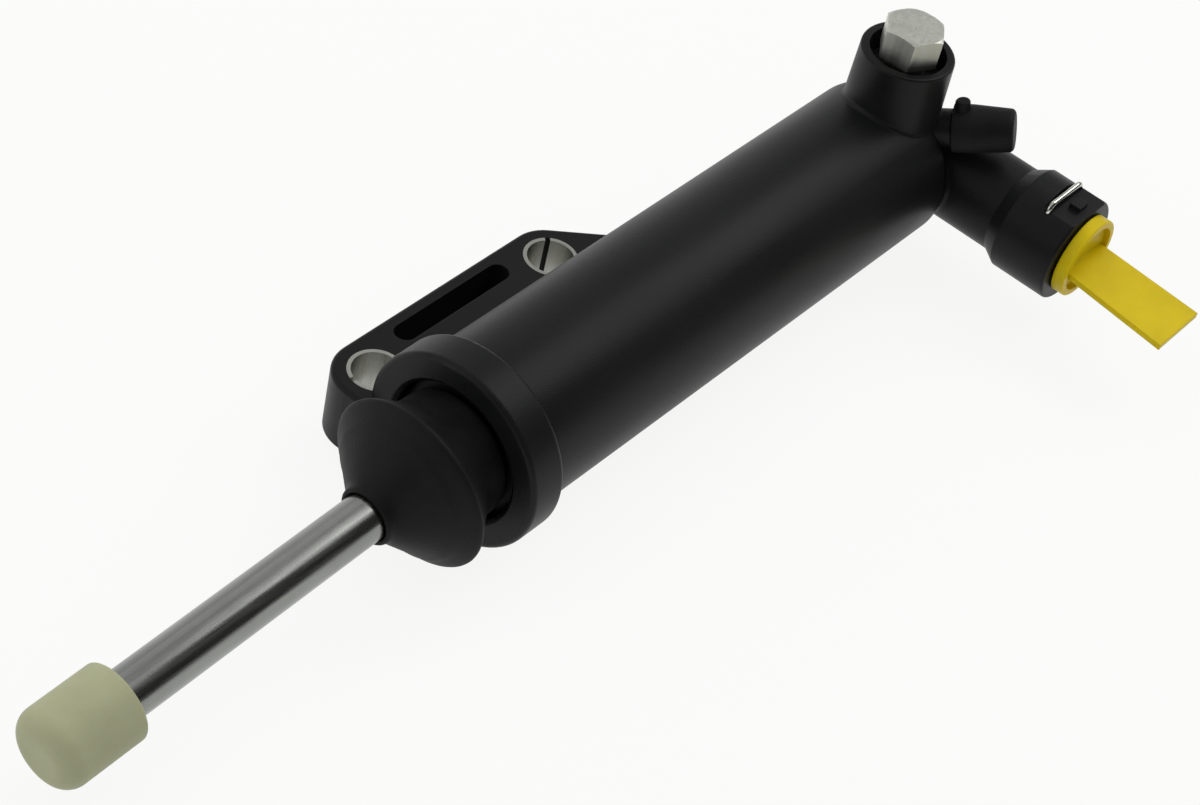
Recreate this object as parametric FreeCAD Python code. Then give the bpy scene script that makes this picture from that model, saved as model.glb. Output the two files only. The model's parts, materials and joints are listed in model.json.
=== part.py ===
import FreeCAD, Part
import math
import os
from FreeCAD import Vector

# Clutch slave cylinder: a moulded plastic cylinder with a two-bolt side flange, a sprung
# piston, a push rod on a ball seat, a rubber dust boot, and a head with a bleed screw,
# a capped bleed nipple and a clipped line port that is closed by a transport plug.
# Lengths are millimetres and angles are degrees. The shapes are drawn about the bore axis,
# which is X, with X zero at the front bolt, and are then moved so that the origin is on the
# mounting face, midway between the two bolts. The push rod points towards -X and the bolts
# run along Z.

# Fits
RUNNING_GAP = 0.05
SOFT_GAP = 0.3
SEAT_GAP = 0.1

# Cylinder tube and collar
BORE_RADIUS = 11.1
TUBE_WALL = 5.4
TUBE_TAIL = 3.9
TUBE_END_ROUND = 4.0
COLLAR_FRONT_X = -6.0
COLLAR_LENGTH = 8.0
COLLAR_LIP = 2.5
COLLAR_ROUND = 1.0
MOUTH_WALL = 5.5
MOUTH_DEPTH = 8.0
MOUTH_CHAMFER = 0.8
JUNCTION_ROUND = 0.8
BORE_DEPTH = 98.0

# Mounting flange and its steel bushings
BOLT_SPACING = 47.4
BUSHING_BORE_RADIUS = 4.5
BUSHING_WALL = 0.75
BUSHING_SLIT = 1.0
FRONT_SLIT_TURN = 168.0
REAR_SLIT_TURN = 48.0
BUSHING_TO_TUBE = 1.25
EAR_WALL = 2.75
FLANGE_DROP = 1.57
FLANGE_THICKNESS = 14.0
FLANGE_OVERLAP = 12.5
FLANGE_ROUND = 0.9
POCKET_END_WALL = 3.75
POCKET_SIDE_WALL = 2.5
POCKET_WIDTH = 4.3
POCKET_DEPTH = 9.0

# Bleed boss and screw
BOSS_SETBACK = 20.1
BOSS_RADIUS = 9.4
BOSS_DRAFT = 0.7
BOSS_TOP_Z = 27.5
BOSS_RIM_ROUND = 0.5
BOSS_RECESS_WALL = 1.7
BOSS_RECESS_DEPTH = 5.3
SCREW_RADIUS = 4.0
SCREW_HEX_AF = 11.0
SCREW_HEX_HEIGHT = 6.5
SCREW_HEX_RISE = 5.8
SCREW_HEX_TURN = 34.0
SCREW_FACE_RADIUS = 5.6
SCREW_FACE_BEVEL = 30.0
SCREW_CONE_HEIGHT = 3.0
SCREW_TIP_RADIUS = 0.9
SCREW_TIP_Z = 6.2
SCREW_SEAL_SECTION = 1.2
SCREW_SEAL_DROP = 4.0

# Line port
PORT_SETBACK = 11.7
PORT_DROP = 1.0
NECK_RADIUS = 9.3
NECK_BACK_Y = 6.0
NECK_BACK_ROUND = 2.5
NECK_LENGTH = 27.0
HEAD_RADIUS = 11.1
HEAD_TAPER = 3.0
HEAD_LENGTH = 12.5
HEAD_ROUND = 0.6
HEAD_FLAT_DEPTH = 1.7
HEAD_FLAT_LENGTH = 7.2
LUG_WIDTH = 3.0
LUG_LENGTH = 2.4
LUG_HEIGHT = 1.1
LUG_INSET = 1.8
SOCKET_RADIUS = 4.7
SOCKET_DEPTH = 21.0
SEAL_BORE_DEPTH = 13.1
PORT_SEAL_SECTION = 2.3
SEAL_RETAINER_LENGTH = 2.0
PASSAGE_RADIUS = 2.0

# Wire clip of the line port
CLIP_WIRE_RADIUS = 0.6
CLIP_INSET = 6.2
CLIP_LEG_GAP = 0.5
CLIP_SINK = 0.5
CLIP_BEND_RADIUS = 1.6
CLIP_LEG_LENGTH = 17.0
CLIP_SLOT_GAP = 0.1

# Transport plug
PLUG_STAND = 0.4
PLUG_DISC_RADIUS = 8.6
PLUG_DISC_THICKNESS = 2.6
PLUG_DISC_ROUND = 0.4
PLUG_DISH_RADIUS = 7.1
PLUG_DISH_DEPTH = 1.2
PLUG_STEP_LENGTH = 6.0
PLUG_SPIGOT_GAP = 0.25
BLADE_ROOT_WIDTH = 13.0
BLADE_END_WIDTH = 14.3
BLADE_LENGTH = 23.2
BLADE_THICKNESS = 1.2
BLADE_LEAN = 2.5
BLADE_DROP = 0.8

# Bleed nipple and its rubber cap
NIPPLE_TURN = 62.5
NIPPLE_RISE = 16.5
NIPPLE_START_Z = 8.9
NIPPLE_ROOT_RADIUS = 3.8
NIPPLE_ROOT_REACH = 13.4
NIPPLE_RADIUS = 2.9
NIPPLE_BARB = 0.45
NIPPLE_BARB_LENGTH = 2.4
NIPPLE_TIP_LENGTH = 10.0
NIPPLE_BORE_RADIUS = 1.0
CAP_WALL = 1.4
CAP_LENGTH = 12.0
CAP_TAPER = 0.5
CAP_BAND = 3.8
CAP_END_GAP = 0.4
CAP_ROUND = 1.0
CAP_TAB_RADIUS = 1.5
CAP_TAB_ROUND = 0.5
CAP_TAB_RISE = 1.9

# Piston, seals and spring
PISTON_LENGTH = 38.0
PRIMARY_SEAL_LAND = 3.2
SECONDARY_SEAL_SETBACK = 9.0
SEAL_DEPTH = 3.4
SEAL_LENGTH = 5.0
GUIDE_RING_SETBACK = 17.5
GUIDE_RING_LENGTH = 4.0
GUIDE_RING_DEPTH = 1.3
SPRING_SEAT_THICKNESS = 1.4
SPRING_SEAT_RADIUS = 10.4
SPRING_NOSE_RADIUS = 6.6
SPRING_NOSE_LENGTH = 5.0
SPRING_WIRE_RADIUS = 0.8
SPRING_TURNS = 7

# Retainers in the collar's mouth
WASHER_THICKNESS = 2.2
WASHER_HOLE_RADIUS = 8.0
SNAP_RING_THICKNESS = 1.2
SNAP_RING_BITE = 1.1
SNAP_RING_WIDTH = 2.2
SNAP_RING_SPAN = 310.0

# Push rod and its tip
ROD_RADIUS = 4.5
ROD_DROOP = 3.0
BALL_SETBACK = 3.0
BALL_RADIUS = 5.5
ROD_NECK_RADIUS = 3.2
ROD_NECK_LENGTH = 10.0
ROD_NECK_TAPER = 1.5
RETAINER_WALL = 1.9
RETAINER_LENGTH = 5.2
RETAINER_LIP = 1.1
ROD_TO_TIP = 87.0
TIP_LENGTH = 16.0
TIP_RADIUS = 7.3
TIP_NOSE_ROUND = 3.6
TIP_RIM_ROUND = 0.5
ROD_IN_TIP = 9.0
ROD_END_CHAMFER = 0.8

# Dust boot
BOOT_WALL = 1.5
BOOT_TILT = 5.0
BOOT_BEAD_DEPTH = 3.6
BOOT_NECK_STEP = 0.4
BOOT_FLANK_START = 2.0
BOOT_FLANK_SINK = 1.8
BOOT_RIM_RADIUS = 16.8
BOOT_RIM_REACH = 10.0
BOOT_RIM_ROUND = 0.8
BOOT_RIM_DROP = 0.5
BOOT_CONE_REACH = 19.6
BOOT_CONE_LIP = 0.5
BOOT_CONE_BULGE = 0.5
BOOT_SLEEVE_WALL = 1.0
BOOT_SLEEVE_PROUD = 1.4

# Sizes that follow from the ones above
TUBE_RADIUS = BORE_RADIUS + TUBE_WALL
COLLAR_RADIUS = TUBE_RADIUS + COLLAR_LIP
COLLAR_REAR_X = COLLAR_FRONT_X + COLLAR_LENGTH
MOUTH_RADIUS = COLLAR_RADIUS - MOUTH_WALL
MOUTH_FLOOR_X = COLLAR_FRONT_X + MOUTH_DEPTH
BORE_END_X = MOUTH_FLOOR_X + BORE_DEPTH
BOSS_X = BORE_END_X + BOSS_SETBACK
TUBE_END_X = BOSS_X + TUBE_TAIL
PORT_X = BOSS_X + PORT_SETBACK
PORT_Z = -PORT_DROP

BUSHING_RADIUS = BUSHING_BORE_RADIUS + BUSHING_WALL
BOLT_Y = TUBE_RADIUS + BUSHING_TO_TUBE + BUSHING_RADIUS
EAR_RADIUS = BUSHING_RADIUS + EAR_WALL
FLANGE_TOP_Z = -FLANGE_DROP
FLANGE_BASE_Z = FLANGE_TOP_Z - FLANGE_THICKNESS
FLANGE_OUTER_Y = BOLT_Y + EAR_RADIUS
FLANGE_INNER_Y = TUBE_RADIUS - FLANGE_OVERLAP

BOSS_FLOOR_Z = BOSS_TOP_Z - BOSS_RECESS_DEPTH
BOSS_RECESS_RADIUS = BOSS_RADIUS - BOSS_RECESS_WALL
HEX_TOP_Z = BOSS_TOP_Z + SCREW_HEX_RISE
HEX_BASE_Z = HEX_TOP_Z - SCREW_HEX_HEIGHT
SCREW_BORE_RADIUS = SCREW_RADIUS + RUNNING_GAP
SCREW_CONE_TOP_Z = SCREW_TIP_Z + SCREW_CONE_HEIGHT
SCREW_SEAL_Z = BOSS_FLOOR_Z - SCREW_SEAL_DROP

HEAD_START_Y = -(NECK_LENGTH + HEAD_TAPER)
HEAD_END_Y = HEAD_START_Y - HEAD_LENGTH
HEAD_TOP_Z = PORT_Z + HEAD_RADIUS
HEAD_FLAT_Z = HEAD_TOP_Z - HEAD_FLAT_DEPTH
SOCKET_FLOOR_Y = HEAD_END_Y + SOCKET_DEPTH
SEAL_FLOOR_Y = HEAD_END_Y + SEAL_BORE_DEPTH
SEAL_BORE_RADIUS = SOCKET_RADIUS + PORT_SEAL_SECTION
CLIP_Y = HEAD_END_Y + CLIP_INSET
CLIP_LEG_X = SOCKET_RADIUS + CLIP_LEG_GAP + CLIP_WIRE_RADIUS
CLIP_TOP_Z = HEAD_TOP_Z - CLIP_SINK
CLIP_SLOT_RADIUS = CLIP_WIRE_RADIUS + CLIP_SLOT_GAP

PLUG_FACE_Y = HEAD_END_Y - PLUG_STAND
PLUG_STEP_RADIUS = SEAL_BORE_RADIUS - SOFT_GAP
SPIGOT_RADIUS = SOCKET_RADIUS - PLUG_SPIGOT_GAP
SPIGOT_END_Y = SOCKET_FLOOR_Y - SEAT_GAP

NIPPLE_REACH = NIPPLE_ROOT_REACH + NIPPLE_TIP_LENGTH
CAP_BORE_RADIUS = NIPPLE_RADIUS + NIPPLE_BARB + RUNNING_GAP
CAP_RADIUS = CAP_BORE_RADIUS + CAP_WALL
CAP_END_RADIUS = CAP_RADIUS - CAP_TAPER
CAP_START = NIPPLE_ROOT_REACH + SOFT_GAP
CAP_HOLE_END = NIPPLE_REACH + CAP_END_GAP

PISTON_RADIUS = BORE_RADIUS - RUNNING_GAP
PISTON_FRONT_X = MOUTH_FLOOR_X + SEAT_GAP
PISTON_REAR_X = PISTON_FRONT_X + PISTON_LENGTH
BALL_X = MOUTH_FLOOR_X + BALL_SETBACK
PRIMARY_SEAL_X = PISTON_REAR_X - PRIMARY_SEAL_LAND - SEAL_LENGTH
SECONDARY_SEAL_X = BALL_X + SECONDARY_SEAL_SETBACK
GUIDE_RING_X = BALL_X + GUIDE_RING_SETBACK
SEAL_FLOOR_RADIUS = PISTON_RADIUS - SEAL_DEPTH
GUIDE_FLOOR_RADIUS = PISTON_RADIUS - GUIDE_RING_DEPTH
SPRING_START_X = PISTON_REAR_X + SPRING_SEAT_THICKNESS
SPRING_COIL_RADIUS = SPRING_NOSE_RADIUS + SOFT_GAP + SPRING_WIRE_RADIUS

WASHER_FRONT_X = MOUTH_FLOOR_X - WASHER_THICKNESS
SNAP_RING_FRONT_X = WASHER_FRONT_X - SNAP_RING_THICKNESS
SNAP_RING_RADIUS = MOUTH_RADIUS + SNAP_RING_BITE

SEAT_RADIUS = BALL_RADIUS + RUNNING_GAP
RETAINER_RADIUS = BALL_RADIUS + RETAINER_WALL
RETAINER_MOUTH_RADIUS = BALL_RADIUS - RETAINER_LIP
TIP_RIM_X = BALL_X - ROD_TO_TIP
ROD_END_X = TIP_RIM_X - ROD_IN_TIP

BOOT_BEAD_RADIUS = MOUTH_RADIUS - SOFT_GAP
BOOT_NECK_RADIUS = BOOT_BEAD_RADIUS - BOOT_NECK_STEP
BOOT_SLEEVE_RADIUS = ROD_RADIUS + BOOT_SLEEVE_WALL

MOVE_TO_MOUNT = Vector(-BOLT_SPACING / 2, -BOLT_Y, -FLANGE_BASE_Z)
AXIS_X = Vector(1, 0, 0)
AXIS_Y = Vector(0, 1, 0)
AXIS_Z = Vector(0, 0, 1)
BALL_CENTRE = Vector(BALL_X, 0, 0)
COLLAR_FACE = Vector(COLLAR_FRONT_X, 0, 0)


def on_bore(x):
    """A point on the bore's axis."""
    return Vector(x, 0, 0)


def cylinder(radius, start, end):
    """A cylinder between two points on its axis."""
    return Part.makeCylinder(radius, (end - start).Length, start, end - start)


def ring(inner, outer, start, end):
    """A plain ring between two points on its axis."""
    return cylinder(outer, start, end).cut(cylinder(inner, start, end))


def turned(outline, centre, axis):
    """Turns a closed outline about an axis. Each point is its distance along the axis and
    its radius. A point of four numbers ends an arc, and begins with a point on that arc."""
    side = AXIS_X if abs(axis.z) > 0.9 else AXIS_Z
    out = (side - axis * side.dot(axis)).normalize()

    def place(along, radius):
        return centre + axis * along + out * radius

    edges = []
    here = place(*outline[-1][-2:])
    for point in outline:
        there = place(*point[-2:])
        if len(point) == 4:
            edges.append(Part.Arc(here, place(*point[:2]), there).toShape())
        else:
            edges.append(Part.LineSegment(here, there).toShape())
        here = there
    return Part.Face(Part.Wire(edges)).revolve(centre, axis, 360)


def corner_arc(along, radius, size):
    """The outline point that ends a rounded outer corner, which starts at size before it."""
    inset = size * (1 - math.sqrt(0.5))
    return (along - inset, radius - inset, along, radius - size)


def circles_at(shape, radius, x):
    """The round edges of this radius about the bore's axis that lie at one X."""
    found = []
    for edge in shape.Edges:
        if not isinstance(edge.Curve, Part.Circle):
            continue
        right_size = abs(edge.Curve.Radius - radius) < 0.01
        right_place = abs(edge.Curve.Center.x - x) < 0.01
        if right_size and right_place:
            found.append(edge)
    return found


def joined_with_fillets(forms):
    """Joins forms, and rounds the inner corners where two of them meet."""
    body = forms[0].fuse(forms[1:]).removeSplitter()
    corners = []
    for edge in body.Edges:
        middle = Part.Vertex(edge.valueAt((edge.FirstParameter + edge.LastParameter) / 2))
        touching = [form for form in forms if form.distToShape(middle)[0] < 0.001]
        if len(touching) > 1:
            corners.append(edge)
    return body.makeFillet(JUNCTION_ROUND, corners)


def drooped(shape):
    """Tips a shape that is drawn about the bore's axis onto the drooping rod's axis."""
    tipped = shape.copy()
    tipped.rotate(BALL_CENTRE, AXIS_Y, -ROD_DROOP)
    return tipped


def nipple_axis():
    """The direction of the bleed nipple: sideways, backwards and a little upwards."""
    turn = math.radians(NIPPLE_TURN)
    rise = math.radians(NIPPLE_RISE)
    flat = math.cos(rise)
    return Vector(flat * math.cos(turn), -flat * math.sin(turn), math.sin(rise))


def on_nipple(distance):
    """A point on the nipple's axis, at a distance from the boss's axis."""
    return Vector(BOSS_X, 0, NIPPLE_START_Z) + nipple_axis() * distance


def flange_outline():
    """The flange from above: two round ears, a straight outer side and a slanting rear end."""
    z = FLANGE_BASE_Z
    slant = EAR_RADIUS * math.sqrt(0.5)
    half_turn = math.radians(22.5)
    rear_x = BOLT_SPACING + slant
    rear_y = BOLT_Y + slant
    foot_x = rear_x + rear_y - FLANGE_INNER_Y
    front_foot = Vector(-EAR_RADIUS, FLANGE_INNER_Y, z)
    front_ear = Vector(-EAR_RADIUS, BOLT_Y, z)
    front_mid = Vector(-slant, rear_y, z)
    front_top = Vector(0, FLANGE_OUTER_Y, z)
    rear_top = Vector(BOLT_SPACING, FLANGE_OUTER_Y, z)
    rear_mid_x = BOLT_SPACING + EAR_RADIUS * math.sin(half_turn)
    rear_mid = Vector(rear_mid_x, BOLT_Y + EAR_RADIUS * math.cos(half_turn), z)
    rear_ear = Vector(rear_x, rear_y, z)
    rear_foot = Vector(foot_x, FLANGE_INNER_Y, z)
    edges = [
        Part.LineSegment(front_foot, front_ear),
        Part.Arc(front_ear, front_mid, front_top),
        Part.LineSegment(front_top, rear_top),
        Part.Arc(rear_top, rear_mid, rear_ear),
        Part.LineSegment(rear_ear, rear_foot),
        Part.LineSegment(rear_foot, front_foot),
    ]
    return Part.Wire([edge.toShape() for edge in edges])


def flange_pocket():
    """The long pocket with round ends that lightens the flange between its bushings."""
    end_radius = POCKET_WIDTH / 2
    y = FLANGE_OUTER_Y - POCKET_SIDE_WALL - end_radius
    floor_z = FLANGE_TOP_Z - POCKET_DEPTH
    height = POCKET_DEPTH + FLANGE_ROUND
    start_x = BUSHING_RADIUS + POCKET_END_WALL + end_radius
    end_x = BOLT_SPACING - start_x
    corner = Vector(start_x, y - end_radius, floor_z)
    pocket = Part.makeBox(end_x - start_x, POCKET_WIDTH, height, corner)
    ends = [Part.makeCylinder(end_radius, height, Vector(x, y, floor_z)) for x in (start_x, end_x)]
    return pocket.fuse(ends)


def flange():
    """The side flange, cleared in front of the collar's face."""
    plate = Part.Face(flange_outline()).extrude(AXIS_Z * FLANGE_THICKNESS)
    rim = [edge for edge in plate.Edges if edge.BoundBox.ZMin > FLANGE_TOP_Z - 0.01]
    plate = plate.makeFillet(FLANGE_ROUND, rim)
    before_collar = cylinder(COLLAR_RADIUS, on_bore(COLLAR_FRONT_X - EAR_RADIUS), COLLAR_FACE)
    return plate.cut([flange_pocket(), before_collar])


def tube():
    """The tube with its rounded rear end."""
    body = cylinder(TUBE_RADIUS, COLLAR_FACE, on_bore(TUBE_END_X))
    return body.makeFillet(TUBE_END_ROUND, circles_at(body, TUBE_RADIUS, TUBE_END_X))


def collar():
    """The thick collar round the tube's mouth."""
    body = cylinder(COLLAR_RADIUS, COLLAR_FACE, on_bore(COLLAR_REAR_X))
    rims = circles_at(body, COLLAR_RADIUS, COLLAR_FRONT_X)
    rims += circles_at(body, COLLAR_RADIUS, COLLAR_REAR_X)
    return body.makeFillet(COLLAR_ROUND, rims)


def bleed_boss():
    """The slightly tapered upright boss of the bleed screw."""
    outline = [
        (0, 0),
        (0, BOSS_RADIUS + BOSS_DRAFT),
        (BOSS_TOP_Z - BOSS_RIM_ROUND, BOSS_RADIUS),
        corner_arc(BOSS_TOP_Z, BOSS_RADIUS, BOSS_RIM_ROUND),
        (BOSS_TOP_Z, 0),
    ]
    return turned(outline, Vector(BOSS_X, 0, 0), AXIS_Z)


def port_arm():
    """The round cross arm of the line port, with its wider head and the head's flat."""
    inset = NECK_BACK_ROUND * (1 - math.sqrt(0.5))
    outline = [
        (-NECK_BACK_Y, 0),
        (-NECK_BACK_Y, NECK_RADIUS - NECK_BACK_ROUND),
        (inset - NECK_BACK_Y, NECK_RADIUS - inset, NECK_BACK_ROUND - NECK_BACK_Y, NECK_RADIUS),
        (NECK_LENGTH, NECK_RADIUS),
        (-HEAD_START_Y, HEAD_RADIUS),
        (-HEAD_END_Y - HEAD_ROUND, HEAD_RADIUS),
        corner_arc(-HEAD_END_Y, HEAD_RADIUS, HEAD_ROUND),
        (-HEAD_END_Y, 0),
    ]
    arm = turned(outline, Vector(PORT_X, 0, PORT_Z), -AXIS_Y)
    flat_corner = Vector(PORT_X - HEAD_RADIUS, HEAD_END_Y, HEAD_FLAT_Z)
    flat = Part.makeBox(2 * HEAD_RADIUS, HEAD_FLAT_LENGTH, HEAD_RADIUS, flat_corner)
    lug_corner = Vector(PORT_X - LUG_WIDTH / 2, HEAD_END_Y + LUG_INSET, PORT_Z + SEAL_BORE_RADIUS)
    lug_height = HEAD_FLAT_Z + LUG_HEIGHT - lug_corner.z
    lug = Part.makeBox(LUG_WIDTH, LUG_LENGTH, lug_height, lug_corner)
    return arm.cut(flat).fuse(lug)


def port_hollow():
    """The stepped socket of the port, the fluid passages and the wire clip's two slots."""
    mouth = Vector(PORT_X, HEAD_END_Y, PORT_Z)
    cuts = [
        cylinder(SEAL_BORE_RADIUS, mouth, Vector(PORT_X, SEAL_FLOOR_Y, PORT_Z)),
        cylinder(SOCKET_RADIUS, mouth, Vector(PORT_X, SOCKET_FLOOR_Y, PORT_Z)),
        cylinder(PASSAGE_RADIUS, mouth, Vector(PORT_X, 0, PORT_Z)),
        cylinder(PASSAGE_RADIUS, Vector(BORE_END_X, 0, PORT_Z), Vector(PORT_X, 0, PORT_Z)),
    ]
    for x in (PORT_X - CLIP_LEG_X, PORT_X + CLIP_LEG_X):
        foot = Vector(x, CLIP_Y, PORT_Z - HEAD_RADIUS)
        cuts.append(Part.makeCylinder(CLIP_SLOT_RADIUS, 2 * HEAD_RADIUS, foot))
    return cuts


def bleed_hollow():
    """The boss's recess, the screw's bore with its cone seat, and the nipple's passage."""
    top = Vector(BOSS_X, 0, BOSS_TOP_Z)
    floor = Vector(BOSS_X, 0, BOSS_FLOOR_Z)
    cone_top = Vector(BOSS_X, 0, SCREW_CONE_TOP_Z)
    cone_foot = Vector(BOSS_X, 0, SCREW_TIP_Z - RUNNING_GAP)
    seat_height = SCREW_CONE_HEIGHT + RUNNING_GAP
    foot_radius = SCREW_TIP_RADIUS + RUNNING_GAP
    return [
        cylinder(BOSS_RECESS_RADIUS, floor, top),
        cylinder(SCREW_BORE_RADIUS, cone_top, top),
        Part.makeCone(foot_radius, SCREW_BORE_RADIUS, seat_height, cone_foot),
        cylinder(SCREW_TIP_RADIUS, Vector(BOSS_X, 0, PORT_Z), cone_top),
        cylinder(NIPPLE_BORE_RADIUS, on_nipple(0), on_nipple(NIPPLE_REACH)),
    ]


def nipple():
    """The moulded bleed nipple on its thick root, with a barb near its tip."""
    barb_start = NIPPLE_REACH - NIPPLE_BARB_LENGTH
    outline = [
        (0, 0),
        (0, NIPPLE_ROOT_RADIUS),
        (NIPPLE_ROOT_REACH, NIPPLE_ROOT_RADIUS),
        (NIPPLE_ROOT_REACH, NIPPLE_RADIUS),
        (barb_start, NIPPLE_RADIUS),
        (barb_start, NIPPLE_RADIUS + NIPPLE_BARB),
        (NIPPLE_REACH, NIPPLE_RADIUS - NIPPLE_BARB),
        (NIPPLE_REACH, 0),
    ]
    return turned(outline, on_nipple(0), nipple_axis())


def bore_hollow():
    """The bore, its wider mouth with a chamfered edge, and the snap ring's groove."""
    chamfer_end = on_bore(COLLAR_FRONT_X + MOUTH_CHAMFER)
    lead_in = Part.makeCone(
        MOUTH_RADIUS + MOUTH_CHAMFER, MOUTH_RADIUS, MOUTH_CHAMFER, COLLAR_FACE, AXIS_X
    )
    return [
        cylinder(BORE_RADIUS, COLLAR_FACE, on_bore(BORE_END_X)),
        cylinder(MOUTH_RADIUS, chamfer_end, on_bore(MOUTH_FLOOR_X)),
        lead_in,
        cylinder(SNAP_RING_RADIUS, on_bore(SNAP_RING_FRONT_X), on_bore(WASHER_FRONT_X)),
    ]


def cylinder_housing():
    """The one-piece moulding: tube, collar, flange, bleed boss, nipple and port."""
    body = joined_with_fillets([tube(), bleed_boss(), port_arm()])
    body = body.fuse([collar(), flange(), nipple()])
    cuts = bore_hollow() + port_hollow() + bleed_hollow()
    for x in (0, BOLT_SPACING):
        foot = Vector(x, BOLT_Y, FLANGE_BASE_Z)
        cuts.append(Part.makeCylinder(BUSHING_RADIUS, FLANGE_THICKNESS, foot))
    return body.removeSplitter().cut(cuts)


def mount_bushing(x, slit_turn):
    """A rolled steel sleeve with its slit, pressed into one ear of the flange."""
    foot = Vector(x, BOLT_Y, FLANGE_BASE_Z)
    sleeve = ring(BUSHING_BORE_RADIUS, BUSHING_RADIUS, foot, foot + AXIS_Z * FLANGE_THICKNESS)
    corner = foot - AXIS_Y * (BUSHING_SLIT / 2)
    slit = Part.makeBox(2 * BUSHING_RADIUS, BUSHING_SLIT, FLANGE_THICKNESS, corner)
    slit.rotate(foot, AXIS_Z, slit_turn)
    return sleeve.cut(slit)


def stop_washer():
    """The washer that stops the piston, seated on the floor of the mouth."""
    return ring(WASHER_HOLE_RADIUS, MOUTH_RADIUS, on_bore(WASHER_FRONT_X), on_bore(MOUTH_FLOOR_X))


def snap_ring():
    """The open retaining ring that sits in the mouth's groove in front of the washer."""
    inner = SNAP_RING_RADIUS - SNAP_RING_WIDTH
    whole = ring(inner, SNAP_RING_RADIUS, on_bore(SNAP_RING_FRONT_X), on_bore(WASHER_FRONT_X))
    start = on_bore(SNAP_RING_FRONT_X)
    reach = 2 * SNAP_RING_RADIUS
    sector = Part.makeCylinder(reach, SNAP_RING_THICKNESS, start, AXIS_X, SNAP_RING_SPAN)
    return whole.common(sector)


def piston():
    """The piston: seal grooves, a guide ring groove, a spring nose and the ball seat."""
    rear = on_bore(PISTON_REAR_X)
    nose_end = on_bore(SPRING_START_X + SPRING_NOSE_LENGTH)
    body = cylinder(PISTON_RADIUS, on_bore(PISTON_FRONT_X), rear)
    body = body.fuse(cylinder(SPRING_NOSE_RADIUS, rear, nose_end))
    grooves = [
        (SECONDARY_SEAL_X, SEAL_LENGTH, SEAL_FLOOR_RADIUS),
        (PRIMARY_SEAL_X, SEAL_LENGTH, SEAL_FLOOR_RADIUS),
        (GUIDE_RING_X, GUIDE_RING_LENGTH, GUIDE_FLOOR_RADIUS),
    ]
    cuts = [
        ring(floor, BORE_RADIUS, on_bore(x), on_bore(x + length)) for x, length, floor in grooves
    ]
    cuts.append(cylinder(RETAINER_RADIUS, on_bore(PISTON_FRONT_X), BALL_CENTRE))
    cuts.append(Part.makeSphere(SEAT_RADIUS, BALL_CENTRE))
    return body.cut(cuts)


def lip_seal(x):
    """A rubber cup seal: a solid heel with two lips that face the fluid."""
    middle = (PISTON_RADIUS + SEAL_FLOOR_RADIUS) / 2
    half_notch = SEAL_DEPTH / 5
    outline = [
        (0, SEAL_FLOOR_RADIUS),
        (0, PISTON_RADIUS),
        (SEAL_LENGTH, PISTON_RADIUS),
        (SEAL_LENGTH, middle + half_notch),
        (SEAL_LENGTH / 2, middle),
        (SEAL_LENGTH, middle - half_notch),
        (SEAL_LENGTH, SEAL_FLOOR_RADIUS),
    ]
    return turned(outline, on_bore(x), AXIS_X)


def guide_ring():
    """The plain ring that guides the piston in the bore."""
    end = on_bore(GUIDE_RING_X + GUIDE_RING_LENGTH)
    return ring(GUIDE_FLOOR_RADIUS, PISTON_RADIUS, on_bore(GUIDE_RING_X), end)


def spring_seat():
    """The washer on the piston's nose that the spring bears on."""
    rear = on_bore(PISTON_REAR_X)
    return ring(SPRING_NOSE_RADIUS, SPRING_SEAT_RADIUS, rear, on_bore(SPRING_START_X))


def return_spring():
    """The coil spring between the spring seat and the end of the bore."""
    length = BORE_END_X - SPRING_START_X - 2 * SPRING_WIRE_RADIUS
    helix = Part.makeHelix(length / SPRING_TURNS, length, SPRING_COIL_RADIUS)
    start = Vector(SPRING_COIL_RADIUS, 0, 0)
    section = Part.Wire(Part.makeCircle(SPRING_WIRE_RADIUS, start, AXIS_Y))
    coil = Part.Wire(helix).makePipeShell([section], True, True)
    coil.rotate(Vector(0, 0, 0), AXIS_Y, 90)
    coil.translate(on_bore(SPRING_START_X + SPRING_WIRE_RADIUS))
    return coil


def rod_retainer():
    """The snap-in cup that holds the rod's ball in the piston."""
    front = BALL_CENTRE - AXIS_X * RETAINER_LENGTH
    cup = ring(RETAINER_MOUTH_RADIUS, RETAINER_RADIUS, front, BALL_CENTRE)
    return cup.cut(Part.makeSphere(SEAT_RADIUS, BALL_CENTRE))


def push_rod():
    """The rod with its ball end and the thinner neck behind the ball."""
    length = BALL_X - ROD_END_X
    outline = [
        (0, 0),
        (0, ROD_NECK_RADIUS),
        (ROD_NECK_LENGTH, ROD_NECK_RADIUS),
        (ROD_NECK_LENGTH + ROD_NECK_TAPER, ROD_RADIUS),
        (length - ROD_END_CHAMFER, ROD_RADIUS),
        (length, ROD_RADIUS - ROD_END_CHAMFER),
        (length, 0),
    ]
    rod = turned(outline, BALL_CENTRE, -AXIS_X)
    return drooped(rod.fuse(Part.makeSphere(BALL_RADIUS, BALL_CENTRE)))


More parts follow.
